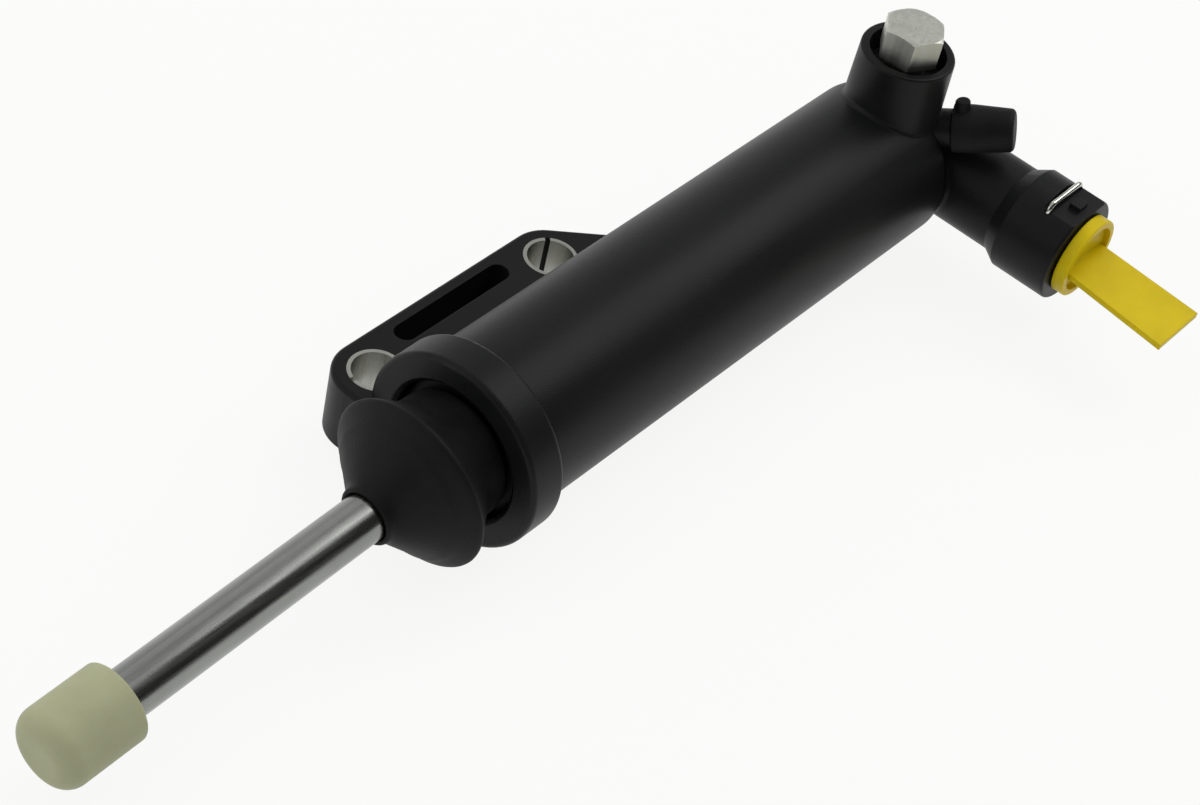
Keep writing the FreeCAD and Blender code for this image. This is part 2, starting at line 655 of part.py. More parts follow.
def rod_tip():
    """The pale plastic tip on the rod: a rounded nose and a blind hole for the rod's end."""
    nose_x = TIP_RIM_X - TIP_LENGTH
    tip = cylinder(TIP_RADIUS, on_bore(nose_x), on_bore(TIP_RIM_X))
    tip = tip.makeFillet(TIP_NOSE_ROUND, circles_at(tip, TIP_RADIUS, nose_x))
    tip = tip.makeFillet(TIP_RIM_ROUND, circles_at(tip, TIP_RADIUS, TIP_RIM_X))
    hole = [
        (0, 0),
        (0, ROD_RADIUS),
        (ROD_IN_TIP - ROD_END_CHAMFER, ROD_RADIUS),
        (ROD_IN_TIP, ROD_RADIUS - ROD_END_CHAMFER),
        (ROD_IN_TIP, 0),
    ]
    return drooped(tip.cut(turned(hole, on_bore(TIP_RIM_X), -AXIS_X)))


def boot_bell(inset):
    """The boot's tilted bell in front of the collar. With an inset it is the bell's hollow."""
    sunk = BOOT_NECK_RADIUS - BOOT_FLANK_SINK - inset
    rim = BOOT_RIM_RADIUS - inset
    shoulder = rim - BOOT_RIM_DROP
    back = BOOT_FLANK_START + inset
    flank_end = BOOT_RIM_REACH - BOOT_RIM_ROUND
    flank_mid = (back + flank_end) / 2
    cone_start = BOOT_RIM_REACH + BOOT_RIM_ROUND - inset / 2
    reach = BOOT_CONE_REACH - inset
    cone_foot = BOOT_SLEEVE_RADIUS + BOOT_CONE_LIP - inset / 2
    cone_mid = (cone_start + reach) / 2
    outline = [
        (back, 0),
        (back, sunk),
        (flank_mid, (sunk + shoulder) / 2 - BOOT_CONE_BULGE, flank_end, shoulder),
        (BOOT_RIM_REACH, rim, cone_start, shoulder),
        (cone_mid, (shoulder + cone_foot) / 2 + BOOT_CONE_BULGE, reach, cone_foot),
        (reach, 0),
    ]
    bell = turned(outline, COLLAR_FACE, -AXIS_X)
    bell.rotate(COLLAR_FACE, AXIS_Y, -BOOT_TILT)
    return bell


def dust_boot():
    """The rubber boot: a bead in the mouth, a neck, a tilted bell and a sleeve on the rod."""
    bead_back = on_bore(COLLAR_FRONT_X + BOOT_BEAD_DEPTH)
    bead_front = on_bore(COLLAR_FRONT_X + SOFT_GAP)
    neck_end = on_bore(COLLAR_FRONT_X - BOOT_RIM_REACH)
    cone_end_x = COLLAR_FRONT_X - BOOT_CONE_REACH
    sleeve_start = on_bore(cone_end_x + BOOT_WALL)
    sleeve_end = on_bore(cone_end_x - BOOT_SLEEVE_PROUD)
    bead = cylinder(BOOT_BEAD_RADIUS, bead_back, bead_front)
    neck = cylinder(BOOT_NECK_RADIUS, bead_back, neck_end)
    sleeve = drooped(cylinder(BOOT_SLEEVE_RADIUS, sleeve_start, sleeve_end))
    outside = boot_bell(0).fuse([bead, neck, sleeve])
    hollow = cylinder(BOOT_NECK_RADIUS - BOOT_WALL, bead_back, neck_end)
    rod_way = drooped(cylinder(ROD_RADIUS, BALL_CENTRE, on_bore(TIP_RIM_X)))
    return outside.cut([boot_bell(BOOT_WALL), hollow, rod_way])


def round_seal(coil_radius, section_radius, centre, axis):
    """A round seal about an axis."""
    return Part.makeTorus(coil_radius, section_radius, centre, axis)


def port_seal():
    """The round seal on the floor of the port's wide bore."""
    half = PORT_SEAL_SECTION / 2
    centre = Vector(PORT_X, SEAL_FLOOR_Y - half, PORT_Z)
    return round_seal(SOCKET_RADIUS + half, half, centre, AXIS_Y)


def seal_retainer():
    """The plastic ring that keeps the port's seal in place."""
    start = Vector(PORT_X, SEAL_FLOOR_Y - PORT_SEAL_SECTION, PORT_Z)
    return ring(SOCKET_RADIUS, SEAL_BORE_RADIUS, start, start - AXIS_Y * SEAL_RETAINER_LENGTH)


def line_clip():
    """The bent wire clip: a bridge over the port's head and two straight legs."""
    bend = CLIP_BEND_RADIUS
    inset = bend * (1 - math.sqrt(0.5))

    def at(x, drop):
        return Vector(PORT_X + x, CLIP_Y, CLIP_TOP_Z - drop)

    leg = CLIP_LEG_X
    edges = [
        Part.LineSegment(at(-leg, CLIP_LEG_LENGTH), at(-leg, bend)),
        Part.Arc(at(-leg, bend), at(inset - leg, inset), at(bend - leg, 0)),
        Part.LineSegment(at(bend - leg, 0), at(leg - bend, 0)),
        Part.Arc(at(leg - bend, 0), at(leg - inset, inset), at(leg, bend)),
        Part.LineSegment(at(leg, bend), at(leg, CLIP_LEG_LENGTH)),
    ]
    path = Part.Wire([edge.toShape() for edge in edges])
    section = Part.Wire(Part.makeCircle(CLIP_WIRE_RADIUS, at(-leg, CLIP_LEG_LENGTH), AXIS_Z))
    return path.makePipeShell([section], True, False)


def transport_plug():
    """The plug: a stepped spigot in the socket, a dished disc and a flat, leaning pull tab."""
    face = Vector(PORT_X, PLUG_FACE_Y, PORT_Z)
    disc_end = face - AXIS_Y * PLUG_DISC_THICKNESS
    root_y = face.y - PLUG_DISC_ROUND
    end_y = disc_end.y - BLADE_LENGTH
    low_z = PORT_Z - BLADE_DROP - BLADE_THICKNESS / 2
    corners = [
        Vector(PORT_X - BLADE_ROOT_WIDTH / 2, root_y, low_z),
        Vector(PORT_X - BLADE_LEAN - BLADE_END_WIDTH / 2, end_y, low_z),
        Vector(PORT_X - BLADE_LEAN + BLADE_END_WIDTH / 2, end_y, low_z),
        Vector(PORT_X + BLADE_ROOT_WIDTH / 2, root_y, low_z),
    ]
    blade = Part.Face(Part.makePolygon(corners + corners[:1])).extrude(AXIS_Z * BLADE_THICKNESS)
    rim = [
        (0, 0),
        (0, PLUG_DISC_RADIUS),
        (PLUG_DISC_THICKNESS - PLUG_DISC_ROUND, PLUG_DISC_RADIUS),
        corner_arc(PLUG_DISC_THICKNESS, PLUG_DISC_RADIUS, PLUG_DISC_ROUND),
        (PLUG_DISC_THICKNESS, PLUG_DISH_RADIUS),
        (PLUG_DISC_THICKNESS - PLUG_DISH_DEPTH, PLUG_DISH_RADIUS),
        (PLUG_DISC_THICKNESS - PLUG_DISH_DEPTH, 0),
    ]
    disc = turned(rim, face, -AXIS_Y)
    step = cylinder(PLUG_STEP_RADIUS, face, face + AXIS_Y * PLUG_STEP_LENGTH)
    spigot = cylinder(SPIGOT_RADIUS, face, Vector(PORT_X, SPIGOT_END_Y, PORT_Z))
    return disc.fuse([step, spigot, blade])


def screw_head():
    """The hexagon of the bleed screw, with its bevelled round face."""
    corner_radius = SCREW_HEX_AF / math.sqrt(3)
    reach = SCREW_HEX_AF
    bevel_foot = HEX_TOP_Z - (reach - SCREW_FACE_RADIUS) * math.tan(math.radians(SCREW_FACE_BEVEL))
    corners = []
    for step in range(6):
        turn = math.radians(SCREW_HEX_TURN + 60 * step)
        x = BOSS_X + corner_radius * math.cos(turn)
        corners.append(Vector(x, corner_radius * math.sin(turn), HEX_BASE_Z))
    hexagon = Part.Face(Part.makePolygon(corners + corners[:1])).extrude(AXIS_Z * SCREW_HEX_HEIGHT)
    envelope = [
        (HEX_BASE_Z, 0),
        (HEX_BASE_Z, reach),
        (bevel_foot, reach),
        (HEX_TOP_Z, SCREW_FACE_RADIUS),
        (HEX_TOP_Z, 0),
    ]
    return hexagon.common(turned(envelope, Vector(BOSS_X, 0, 0), AXIS_Z))


def bleed_screw():
    """The steel bleed screw: hexagon head, seal groove, shank and cone point."""
    half = SCREW_SEAL_SECTION / 2
    groove_floor = SCREW_RADIUS - SCREW_SEAL_SECTION
    outline = [
        (SCREW_TIP_Z, 0),
        (SCREW_TIP_Z, SCREW_TIP_RADIUS),
        (SCREW_CONE_TOP_Z, SCREW_RADIUS),
        (SCREW_SEAL_Z - half, SCREW_RADIUS),
        (SCREW_SEAL_Z - half, groove_floor),
        (SCREW_SEAL_Z + half, groove_floor),
        (SCREW_SEAL_Z + half, SCREW_RADIUS),
        (HEX_BASE_Z, SCREW_RADIUS),
        (HEX_BASE_Z, 0),
    ]
    return screw_head().fuse(turned(outline, Vector(BOSS_X, 0, 0), AXIS_Z))


def bleed_screw_seal():
    """The round seal in the screw's groove."""
    half = SCREW_SEAL_SECTION / 2
    return round_seal(SCREW_RADIUS - half, half, Vector(BOSS_X, 0, SCREW_SEAL_Z), AXIS_Z)


def bleed_cap():
    """The rubber dust cap over the nipple, with a small round tab on its rim."""
    axis = nipple_axis()
    up = (AXIS_Z - axis * axis.z).normalize()
    outline = [
        (0, 0),
        (0, CAP_RADIUS),
        (CAP_BAND, CAP_RADIUS),
        (CAP_LENGTH - CAP_ROUND, CAP_END_RADIUS),
        corner_arc(CAP_LENGTH, CAP_END_RADIUS, CAP_ROUND),
        (CAP_LENGTH, 0),
    ]
    cap = turned(outline, on_nipple(CAP_START), axis)
    tab_foot = on_nipple(CAP_START + CAP_BAND / 2)
    tab_outline = [
        (0, 0),
        (0, CAP_TAB_RADIUS),
        (CAP_RADIUS + CAP_TAB_RISE - CAP_TAB_ROUND, CAP_TAB_RADIUS),
        corner_arc(CAP_RADIUS + CAP_TAB_RISE, CAP_TAB_RADIUS, CAP_TAB_ROUND),
        (CAP_RADIUS + CAP_TAB_RISE, 0),
    ]
    cap = cap.fuse(turned(tab_outline, tab_foot, up))
    return cap.cut(cylinder(CAP_BORE_RADIUS, on_nipple(CAP_START), on_nipple(CAP_HOLE_END)))


def nodes():
    """Every piece by its node's name."""
    return {
        "cylinder_housing": cylinder_housing(),
        "front_mount_bushing": mount_bushing(0, FRONT_SLIT_TURN),
        "rear_mount_bushing": mount_bushing(BOLT_SPACING, REAR_SLIT_TURN),
        "stop_washer": stop_washer(),
        "snap_ring": snap_ring(),
        "piston": piston(),
        "primary_seal": lip_seal(PRIMARY_SEAL_X),
        "secondary_seal": lip_seal(SECONDARY_SEAL_X),
        "guide_ring": guide_ring(),
        "spring_seat": spring_seat(),
        "return_spring": return_spring(),
        "rod_retainer": rod_retainer(),
        "push_rod": push_rod(),
        "rod_tip": rod_tip(),
        "dust_boot": dust_boot(),
        "port_seal": port_seal(),
        "seal_retainer": seal_retainer(),
        "line_clip": line_clip(),
        "transport_plug": transport_plug(),
        "bleed_screw": bleed_screw(),
        "bleed_screw_seal": bleed_screw_seal(),
        "bleed_cap": bleed_cap(),
    }


def main():
    os.makedirs("parts", exist_ok=True)
    for name, shape in nodes().items():
        shape.translate(MOVE_TO_MOUNT)
        shape.exportStep("parts/" + name + ".step")


main()
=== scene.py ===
import json
import math

import bmesh
import bpy
from bpy.props import FloatProperty, FloatVectorProperty, IntProperty, PointerProperty
from mathutils import Matrix, Vector


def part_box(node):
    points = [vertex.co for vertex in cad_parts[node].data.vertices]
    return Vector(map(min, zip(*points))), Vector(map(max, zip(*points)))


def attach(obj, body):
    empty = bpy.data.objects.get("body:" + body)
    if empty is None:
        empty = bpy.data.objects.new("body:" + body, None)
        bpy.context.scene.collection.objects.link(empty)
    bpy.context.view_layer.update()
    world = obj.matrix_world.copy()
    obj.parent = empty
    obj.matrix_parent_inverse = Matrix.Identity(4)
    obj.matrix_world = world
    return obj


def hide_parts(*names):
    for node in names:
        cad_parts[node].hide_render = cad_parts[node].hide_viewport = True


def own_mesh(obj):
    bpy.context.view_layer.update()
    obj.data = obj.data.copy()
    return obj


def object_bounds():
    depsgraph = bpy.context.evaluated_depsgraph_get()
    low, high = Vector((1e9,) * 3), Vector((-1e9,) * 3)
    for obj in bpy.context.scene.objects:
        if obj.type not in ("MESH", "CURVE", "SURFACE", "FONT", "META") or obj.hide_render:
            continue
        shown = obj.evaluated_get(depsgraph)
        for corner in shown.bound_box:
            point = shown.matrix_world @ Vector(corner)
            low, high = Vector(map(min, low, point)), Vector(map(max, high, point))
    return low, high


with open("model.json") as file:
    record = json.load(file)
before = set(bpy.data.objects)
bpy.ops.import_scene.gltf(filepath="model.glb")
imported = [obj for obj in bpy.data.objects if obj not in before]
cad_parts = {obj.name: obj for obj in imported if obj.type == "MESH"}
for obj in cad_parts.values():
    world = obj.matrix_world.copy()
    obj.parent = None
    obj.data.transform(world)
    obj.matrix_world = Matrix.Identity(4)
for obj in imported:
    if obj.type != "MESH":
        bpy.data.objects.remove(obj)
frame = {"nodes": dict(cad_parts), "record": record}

bl_info = {
    "name": "Clutch slave cylinder finish",
    "version": (1, 0, 0),
    "blender": (4, 5, 0),
    "location": "View3D > Sidebar > Cylinder",
    "description": "Dresses a plastic clutch slave cylinder with its finishes, boot and studio",
    "category": "Object",
}

MM = 0.001
CAD_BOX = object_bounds()
NODES = frame["nodes"]


def joint(name):
    """The record's entry for one joint."""
    entries = frame["record"]["behaviour"]["joints"]
    return next(entry for entry in entries if entry["name"] == name)


def middle(node):
    """The centre of a node's box."""
    low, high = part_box(node)
    return (Vector(low) + Vector(high)) / 2


# The bore runs along x, and the collar's open face looks towards -x.
BORE_AXIS = Vector((0, middle("piston").y, middle("piston").z))
BALL = Vector(joint("rod_tilt")["pos_m"])
BALL_DEPTH = 11.0 * MM
COLLAR_FRONT = BALL.x - BALL_DEPTH
ROD_RADIUS = 4.5 * MM
ROD_DROOP = math.radians(3.0)
MERGE_DISTANCE = 0.001 * MM

# The boot leans more and more up to LEAN_LENGTH in front of the collar's face, and
# from LIP_SHARE of the cone's reach on it comes over to the rod's axis.
LEAN_LENGTH = 4.0 * MM
LIP_SHARE = 0.75

# The boot's bead in the collar's groove, as distances from the collar's face and the neck.
BEAD_BACK = -3.6 * MM
BEAD_FRONT = -2.6 * MM
BEAD_HEIGHT = 1.2 * MM
BEAD_DEPTH = 3.7 * MM
BEAD_ROUNDING = 0.2 * MM

# The part of its range that a noise mostly fills.
NOISE_LOW = 0.3
NOISE_HIGH = 0.7

# Rays that look for each eased edge.
EDGE_SAMPLES = 6

# How a metal's noise is stretched, so that its lines run along the bore or upright.
ALONG = (0.02, 1.0, 1.0)
UPRIGHT = (1.0, 1.0, 0.02)

# Each metal: its name, its colour's property, its roughness, its lines and its nodes.
METALS = (
    ("drawn_rod", "rod", 0.27, ALONG, ("push_rod",)),
    ("turned_piston", "rod", 0.30, UPRIGHT, ("piston",)),
    ("rolled_steel", "steel", 0.30, UPRIGHT, ("front_mount_bushing", "rear_mount_bushing")),
    ("zinc_steel", "zinc", 0.40, UPRIGHT, ("bleed_screw", "stop_washer", "spring_seat")),
    ("bright_wire", "zinc", 0.18, ALONG, ("line_clip", "snap_ring")),
)

# Each plastic: its name, its colour's property, its roughness, how much light it lets in
# and its nodes.
PLASTICS = (
    ("pale_tip", "tip", 0.50, 0.25, ("rod_tip",)),
    ("yellow_plug", "plug", 0.40, 0.12, ("transport_plug",)),
    ("inner_rings", "inner", 0.45, 0.0, ("guide_ring", "rod_retainer", "seal_retainer")),
)

RUBBER_NODES = ("bleed_cap", "primary_seal", "secondary_seal", "port_seal", "bleed_screw_seal")

# The sensor's width is in millimetres, as Blender has it. The floor reaches as far in metres
# to each side, and lies a small gap under the object.
SENSOR_WIDTH = 36.0
CLIP_START = 10 * MM
FLOOR_REACH = 3.0
FLOOR_GAP = 0.5 * MM
PAPER_COLOUR = (0.86, 0.87, 0.86, 1)
GLOW_COLOUR = (0.985, 0.99, 0.98, 1)
SKY_COLOUR = (0.95, 0.96, 0.95, 1)

# The surround fades between these cosines of the angle from the dim side's middle.
FADE_START = -0.50
FADE_END = 0.35

# Each lamp: its name, its place from the aim in metres, its width in metres, its watts.
LAMPS = (
    ("over_lamp", (0.05, 0.25, 0.65), 1.0, 1.5),
    ("left_lamp", (-0.60, 0.40, 0.38), 0.70, 1.1),
    ("rear_lamp", (0.53, -0.14, 0.63), 0.50, 2.1),
)


class BootSizes(bpy.types.PropertyGroup):
    """Sizes of the rubber dust boot."""

    wall: FloatProperty(
        name="Wall", description="Thickness of the rubber",
        default=1.5 * MM, unit="LENGTH", subtype="DISTANCE")
    neck_radius: FloatProperty(
        name="Neck radius", description="Radius of the neck in the collar's mouth",
        default=12.2 * MM, unit="LENGTH", subtype="DISTANCE")
    rim_radius: FloatProperty(
        name="Rim radius", description="Largest radius of the bell",
        default=16.8 * MM, unit="LENGTH", subtype="DISTANCE")
    rim_reach: FloatProperty(
        name="Rim reach", description="Distance from the collar's face to the widest place",
        default=10.0 * MM, unit="LENGTH", subtype="DISTANCE")
    cone_reach: FloatProperty(
        name="Cone reach", description="Distance from the collar's face to the cone's end",
        default=19.6 * MM, unit="LENGTH", subtype="DISTANCE")
    sleeve_radius: FloatProperty(
        name="Sleeve radius", description="Radius of the lip round the rod",
        default=5.6 * MM, unit="LENGTH", subtype="DISTANCE")
    tilt: FloatProperty(
        name="Tilt", description="How far the bell leans over the rod",
        default=math.radians(5.0), unit="ROTATION", subtype="ANGLE")
    crease: FloatProperty(
        name="Crease", description="Height of the faint ring on the cone",
        default=0.22 * MM, unit="LENGTH", subtype="DISTANCE")
    fold_reach: FloatProperty(
        name="Fold reach",
        description="Distance from the collar's face to the place on the rod that the boot "
                    "folds towards",
        default=26.0 * MM, unit="LENGTH", subtype="DISTANCE")
    folded: FloatProperty(
        name="Folded", description="Share of its length that the boot keeps with the rod in",
        default=0.165, min=0.01, max=1)
    turns: IntProperty(
        name="Steps round", description="Steps round the boot", default=96, min=24)


class FinishColours(bpy.types.PropertyGroup):
    """Colours of the moulded, rubber, plastic and metal pieces."""

    moulding: FloatVectorProperty(
        name="Moulding", description="Black of the housing",
        default=(0.0085, 0.0092, 0.0088), subtype="COLOR", min=0, max=1)
    rubber: FloatVectorProperty(
        name="Rubber", description="Black of the boot, the nipple's cap and the seals",
        default=(0.0085, 0.0092, 0.0085), subtype="COLOR", min=0, max=1)
    rod: FloatVectorProperty(
        name="Rod", description="Metal of the push rod and the piston",
        default=(0.27, 0.275, 0.26), subtype="COLOR", min=0, max=1)
    zinc: FloatVectorProperty(
        name="Zinc", description="Plated steel of the screw, washers and wires",
        default=(0.62, 0.63, 0.57), subtype="COLOR", min=0, max=1)
    steel: FloatVectorProperty(
        name="Steel", description="Steel of the bushings and the spring",
        default=(0.40, 0.40, 0.37), subtype="COLOR", min=0, max=1)
    tip: FloatVectorProperty(
        name="Tip", description="Pale plastic of the rod's tip",
        default=(0.42, 0.43, 0.27), subtype="COLOR", min=0, max=1)
    plug: FloatVectorProperty(
        name="Plug", description="Yellow of the transport plug",
        default=(0.66, 0.50, 0.002), subtype="COLOR", min=0, max=1)
    inner: FloatVectorProperty(
        name="Inner plastic", description="Grey plastic of the inner rings",
        default=(0.25, 0.25, 0.24), subtype="COLOR", min=0, max=1)


class StageSizes(bpy.types.PropertyGroup):
    """Camera, floor and surround."""

    azimuth: FloatProperty(
        name="Azimuth", description="Direction of view round the object",
        default=math.radians(59.649), unit="ROTATION", subtype="ANGLE")
    elevation: FloatProperty(
        name="Elevation", description="Height of the view above the horizon",
        default=math.radians(43.73), unit="ROTATION", subtype="ANGLE")
    roll: FloatProperty(
        name="Roll", description="Turn of the picture about the line of sight",
        default=math.radians(14.248), unit="ROTATION", subtype="ANGLE")
    distance: FloatProperty(
        name="Distance", description="Distance from the camera to the point it looks at",
        default=506.273 * MM, unit="LENGTH", subtype="DISTANCE")
    aim: FloatVectorProperty(
        name="Aim", description="Point on the bore's level that the camera looks at",
        default=(15.341 * MM, -23.0 * MM, -1.371 * MM), subtype="XYZ")
    lens: FloatProperty(
        name="Lens", description="Focal length in millimetres", default=81.84, min=1)
    sky: FloatProperty(
        name="Sky", description="Strength of the surround as a light", default=0.48, min=0)
    room: FloatProperty(
        name="Room", description="Brightness of the dim side of the room in reflections",
        default=0.05, min=0, max=1)
    dim_side: FloatVectorProperty(
        name="Dim side", description="Direction of the dim side: over and beside the camera",
        default=(-0.22, -0.58, 0.78), subtype="XYZ")
    floor_white: FloatProperty(
        name="Floor white", description="Share of plain white in what the camera sees",
        default=0.90, min=0, max=1)


def emptied(holder):
    """The node tree of a material or world, with nothing in it."""
    holder.use_nodes = True
    holder.node_tree.nodes.clear()
    return holder.node_tree


def set_inputs(node, values):
    """Sets a node's inputs, given by name or number."""
    for socket, value in values.items():
        node.inputs[socket].default_value = value


def add_node(tree, kind, values=None, operation=None):
    """A shader node with its operation and the values of its inputs."""
    node = tree.nodes.new(kind)
    if operation is not None:
        node.operation = operation
    set_inputs(node, values or {})
    return node


def links_into(tree, *pairs):
    """Joins node sockets, each pair an output and an input."""
    for output, target in pairs:
        tree.links.new(output, target)


def new_material(name):
    """A node material with its principled shader, and its object coordinates."""
    material = bpy.data.materials.new(name)
    tree = emptied(material)
    output = add_node(tree, "ShaderNodeOutputMaterial")
    shader = add_node(tree, "ShaderNodeBsdfPrincipled")
    where = add_node(tree, "ShaderNodeTexCoord")
    links_into(tree, (shader.outputs["BSDF"], output.inputs["Surface"]))
    return material, tree, shader, where.outputs["Object"]


def noise(tree, where, scale, detail, stretch=None):
    """Noise on object coordinates, stretched along an axis if asked."""
    texture = add_node(tree, "ShaderNodeTexNoise", {"Scale": scale, "Detail": detail})
    if stretch is not None:
        mapping = add_node(tree, "ShaderNodeMapping", {"Scale": stretch})
        links_into(tree, (where, mapping.inputs["Vector"]))
        where = mapping.outputs["Vector"]
    links_into(tree, (where, texture.inputs["Vector"]))
    return texture.outputs["Fac"]


def spread(tree, value, low, high):
    """Spreads a noise over a range."""
    remap = add_node(tree, "ShaderNodeMapRange", {
        "From Min": NOISE_LOW, "From Max": NOISE_HIGH, "To Min": low, "To Max": high})
    links_into(tree, (value, remap.inputs["Value"]))
    return remap.outputs["Result"]


def tint(tree, value, colour, depth):
    """A colour that a noise darkens and lightens by a share."""
    ramp = add_node(tree, "ShaderNodeValToRGB")
    dark, light = ramp.color_ramp.elements
    dark.position = NOISE_LOW
    light.position = NOISE_HIGH
    dark.color = tuple(c * (1 - depth) for c in colour) + (1,)
    light.color = tuple(min(1.0, c * (1 + depth)) for c in colour) + (1,)
    links_into(tree, (value, ramp.inputs["Fac"]))
    return ramp.outputs["Color"]


def relief(tree, height, depth, normal=None):
    """A bump of a real depth in metres."""
    bump = add_node(tree, "ShaderNodeBump", {"Strength": 1.0, "Distance": depth})
    links_into(tree, (height, bump.inputs["Height"]))
    if normal is not None:
        links_into(tree, (normal, bump.inputs["Normal"]))
    return bump.outputs["Normal"]


def eased_edges(tree, radius):
    """Normals that round the moulding's sharp edges."""
    bevel = add_node(tree, "ShaderNodeBevel", {"Radius": radius})
    bevel.samples = EDGE_SAMPLES
    return bevel.outputs["Normal"]


def coat(tree, shader, colour, roughness, normal, values):
    """Joins a finish to its shader, and sets the shader's other inputs."""
    links_into(
        tree,
        (colour, shader.inputs["Base Color"]),
        (roughness, shader.inputs["Roughness"]),
        (normal, shader.inputs["Normal"]),
    )
    set_inputs(shader, values)


def moulded_plastic(colour):
    """Glass-filled black plastic: satin, with a fine spark-eroded grain and faint flow marks."""
    material, tree, shader, where = new_material("moulded_black_plastic")
    flow = noise(tree, where, scale=90.0, detail=4.0, stretch=(0.35, 1.0, 1.0))
    grain = noise(tree, where, scale=2600.0, detail=2.0)
    coat(
        tree, shader,
        tint(tree, flow, colour, depth=0.16),
        spread(tree, flow, low=0.37, high=0.45),
        relief(tree, grain, depth=0.030 * MM, normal=eased_edges(tree, 0.35 * MM)),
        {"Specular IOR Level": 0.14},
    )
    return material


def soft_rubber(name, colour, roughness):
    """Black rubber with a dull bloom and fine mould texture."""
    material, tree, shader, where = new_material(name)
    bloom = noise(tree, where, scale=140.0, detail=5.0)
    grain = noise(tree, where, scale=1900.0, detail=3.0)
    coat(
        tree, shader,
        tint(tree, bloom, colour, depth=0.30),
        spread(tree, bloom, low=roughness - 0.05, high=roughness + 0.06),
        relief(tree, grain, depth=0.05 * MM),
        {"Specular IOR Level": 0.13},
    )
    return material


def drawn_metal(name, colour, roughness, stretch=None):
    """Metal with fine lines along the direction it was drawn or turned in."""
    material, tree, shader, where = new_material(name)
    lines = noise(tree, where, scale=1500.0, detail=3.0, stretch=stretch)
    cloud = noise(tree, where, scale=160.0, detail=3.0)
    coat(
        tree, shader,
        tint(tree, cloud, colour, depth=0.05),
        spread(tree, lines, low=roughness - 0.05, high=roughness + 0.07),
        relief(tree, lines, depth=0.012 * MM),
        {"Metallic": 1.0},
    )
    return material


def waxy_plastic(name, colour, roughness, weight):
    """Unfilled plastic that lets a little light in."""
    material, tree, shader, where = new_material(name)
    cloud = noise(tree, where, scale=120.0, detail=3.0)
    grain = noise(tree, where, scale=1300.0, detail=2.0)
    coat(
        tree, shader,
        tint(tree, cloud, colour, depth=0.07),
        spread(tree, cloud, low=roughness - 0.04, high=roughness + 0.05),
        relief(tree, grain, depth=0.03 * MM, normal=eased_edges(tree, 0.3 * MM)),
        {"Subsurface Weight": weight, "Subsurface Scale": 1.5 * MM, "Specular IOR Level": 0.15},
    )
    return material


def dress(material, *names):
    """Gives CAD nodes a finish."""
    for name in names:
        mesh = NODES[name].data
        mesh.materials.clear()
        mesh.materials.append(material)


def new_object(name, data):
    """A new object in the scene."""
    holder = bpy.data.objects.new(name, data)
    bpy.context.scene.collection.objects.link(holder)
    return holder


def object_from(name, form, material):
    """A new object in the scene from a bmesh, which is freed."""
    mesh = bpy.data.meshes.new(name)
    form.to_mesh(mesh)
    form.free()
    mesh.materials.append(material)
    return new_object(name, mesh)


def finished(name, form, material, body):
    """Turns a bmesh into a finished piece that rides on a body."""
    piece = object_from(name, form, material)
    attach(piece, body)
    return piece


def smoothstep(value, low, high):
    """Eases from 0 to 1 between two values."""
    share = min(1.0, max(0.0, (value - low) / (high - low)))
    return share * share * (3 - 2 * share)


class CYLINDER_OT_moulding(bpy.types.Operator):
    """Finish the housing in grained black plastic"""

    bl_idname = "cylinder.moulding"
    bl_label = "Housing"

    def execute(self, context):
        colours = context.scene.cylinder_colours
        dress(moulded_plastic(tuple(colours.moulding)), "cylinder_housing")
        return {"FINISHED"}


class CYLINDER_OT_metals(bpy.types.Operator):
    """Finish the rod, screw, bushings, clip and inner metal pieces"""

    bl_idname = "cylinder.metals"
    bl_label = "Metal pieces"

    def execute(self, context):
        colours = context.scene.cylinder_colours
        for name, colour, roughness, stretch, nodes in METALS:
            dress(drawn_metal(name, tuple(getattr(colours, colour)), roughness, stretch), *nodes)
        return {"FINISHED"}


class CYLINDER_OT_plastics(bpy.types.Operator):
    """Finish the pale rod tip, the yellow plug and the inner plastic rings"""

    bl_idname = "cylinder.plastics"
    bl_label = "Coloured plastics"

    def execute(self, context):
        colours = context.scene.cylinder_colours
        for name, colour, roughness, weight, nodes in PLASTICS:
            dress(waxy_plastic(name, tuple(getattr(colours, colour)), roughness, weight), *nodes)
        return {"FINISHED"}


class CYLINDER_OT_spring(bpy.types.Operator):
    """Model the return spring as a coil that rides on the housing, though the real one is pressed
    together as the piston goes in
    """

    bl_idname = "cylinder.spring"
    bl_label = "Return spring"

    def execute(self, context):
        colours = context.scene.cylinder_colours
        coil = bmesh.new()
        coil.from_mesh(NODES["return_spring"].data)
        bmesh.ops.remove_doubles(coil, verts=coil.verts, dist=MERGE_DISTANCE)
        wire = drawn_metal("spring_wire", tuple(colours.steel), 0.25)
        piece = finished("return_spring_coil", coil, wire, "housing")
        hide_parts("return_spring")
        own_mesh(piece)
        return {"FINISHED"}


class CYLINDER_OT_rubber(bpy.types.Operator):
    """Finish the nipple's cap and the seals"""

    bl_idname = "cylinder.rubber"
    bl_label = "Rubber pieces"

    def execute(self, context):
        colours = context.scene.cylinder_colours
        dress(soft_rubber("cap_rubber", tuple(colours.rubber), 0.58), *RUBBER_NODES)
        return {"FINISHED"}


